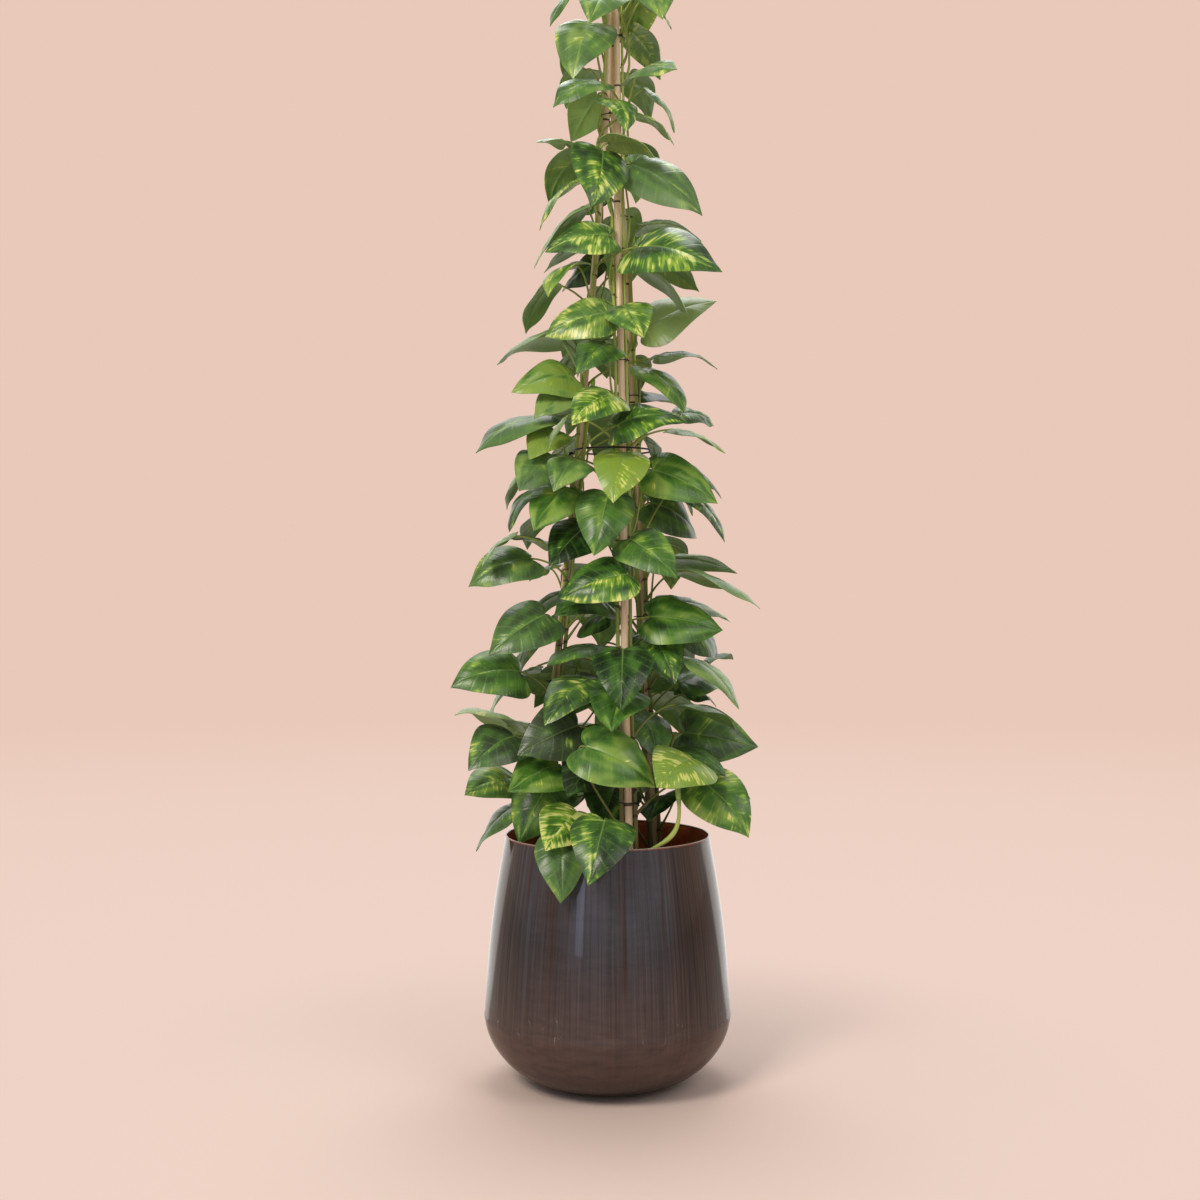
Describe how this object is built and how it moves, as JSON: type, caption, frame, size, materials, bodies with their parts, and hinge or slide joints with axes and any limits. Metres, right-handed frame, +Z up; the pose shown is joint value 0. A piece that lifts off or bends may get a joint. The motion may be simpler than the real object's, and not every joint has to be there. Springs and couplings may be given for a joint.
{
  "type": "potted golden pothos on a bamboo pyramid",
  "caption": "Tall variegated climbing house plant tied to a pyramid of bamboo canes in a round-bottomed bronze-brown metal planter.",
  "frame": {"origin": "centre of the pot's flat foot, on the surface that it stands on", "axes": "+Z up along the pot's axis and the bamboo pyramid, -Y towards the front of the plant, +X to its right"},
  "size_m": [0.5042, 0.4728, 1.905],
  "materials": {
    "pot_metal": "satin bronze-brown lacquer with vertical brushing",
    "soil": "dark crumbly potting soil",
    "bamboo": "dry bamboo with raised joints",
    "wire": "dark plant wire",
    "foliage": "waxy green blades flecked with pale yellow"
  },
  "bodies": {
    "root": {"pot": "pot_metal", "potting_soil": "soil", "cane_front": "bamboo", "cane_right": "bamboo", "cane_left": "bamboo", "hoop": "wire", "tie_1": "wire", "tie_2": "wire", "tie_3": "wire", "tie_4": "wire", "tie_5": "wire", "tie_6": "wire", "tie_7": "wire", "tie_8": "wire", "tie_9": "wire", "tie_10": "wire", "tie_11": "wire", "top_tie_1": "wire", "top_tie_2": "wire", "top_tie_3": "wire", "vine_1": "foliage", "vine_2": "foliage", "vine_3": "foliage", "vine_4": "foliage", "vine_5": "foliage", "vine_6": "foliage", "vine_7": "foliage", "vine_8": "foliage", "vine_9": "foliage"}
  },
  "joints": []
}
